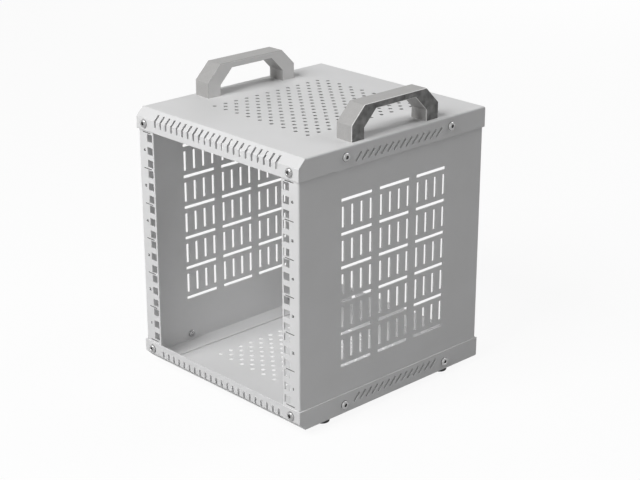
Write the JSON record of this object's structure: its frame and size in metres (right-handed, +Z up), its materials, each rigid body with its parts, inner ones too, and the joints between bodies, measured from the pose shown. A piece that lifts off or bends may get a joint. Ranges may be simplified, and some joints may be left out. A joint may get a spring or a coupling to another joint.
{
  "type": "desktop equipment rack",
  "caption": "Open-frame desktop rack for half-width equipment: perforated folded cover and pan, vented side panels with square-hole rails, bar handles on top, rubber feet.",
  "frame": {"origin": "middle of the footprint, on the surface that the feet stand on", "axes": "+Z up, +Y to the rear, the open equipment front faces -Y, +X to the right seen from the front"},
  "size_m": [0.2856, 0.3056, 0.369],
  "materials": {
    "cover_metal": "satin",
    "panel_metal": "satin",
    "handle_metal": "satin",
    "screw_steel": "polished",
    "nut_steel": "plain",
    "foot_rubber": "matte"
  },
  "bodies": {
    "root": {"bottom_pan": "cover_metal", "foot_front_left": "foot_rubber", "foot_front_right": "foot_rubber", "foot_rear_left": "foot_rubber", "foot_rear_right": "foot_rubber", "handle_screw_left_front": "screw_steel", "handle_screw_left_rear": "screw_steel", "handle_screw_right_front": "screw_steel", "handle_screw_right_rear": "screw_steel", "left_handle": "handle_metal", "left_side_panel": "panel_metal", "lip_screw_front_bottom_left": "screw_steel", "lip_screw_front_bottom_right": "screw_steel", "lip_screw_front_top_left": "screw_steel", "lip_screw_front_top_right": "screw_steel", "lip_screw_left_bottom_front": "screw_steel", "lip_screw_left_bottom_rear": "screw_steel", "lip_screw_left_top_front": "screw_steel", "lip_screw_left_top_rear": "screw_steel", "lip_screw_rear_bottom_left": "screw_steel", "lip_screw_rear_bottom_right": "screw_steel", "lip_screw_rear_top_left": "screw_steel", "lip_screw_rear_top_right": "screw_steel", "lip_screw_right_bottom_front": "screw_steel", "lip_screw_right_bottom_rear": "screw_steel", "lip_screw_right_top_front": "screw_steel", "lip_screw_right_top_rear": "screw_steel", "press_nut_front_bottom_left": "nut_steel", "press_nut_front_bottom_right": "nut_steel", "press_nut_front_top_left": "nut_steel", "press_nut_front_top_right": "nut_steel", "press_nut_left_bottom_front": "nut_steel", "press_nut_left_bottom_rear": "nut_steel", "press_nut_left_top_front": "nut_steel", "press_nut_left_top_rear": "nut_steel", "press_nut_rear_bottom_left": "nut_steel", "press_nut_rear_bottom_right": "nut_steel", "press_nut_rear_top_left": "nut_steel", "press_nut_rear_top_right": "nut_steel", "press_nut_right_bottom_front": "nut_steel", "press_nut_right_bottom_rear": "nut_steel", "press_nut_right_top_front": "nut_steel", "press_nut_right_top_rear": "nut_steel", "right_handle": "handle_metal", "right_side_panel": "panel_metal", "top_cover": "cover_metal"}
  },
  "joints": []
}
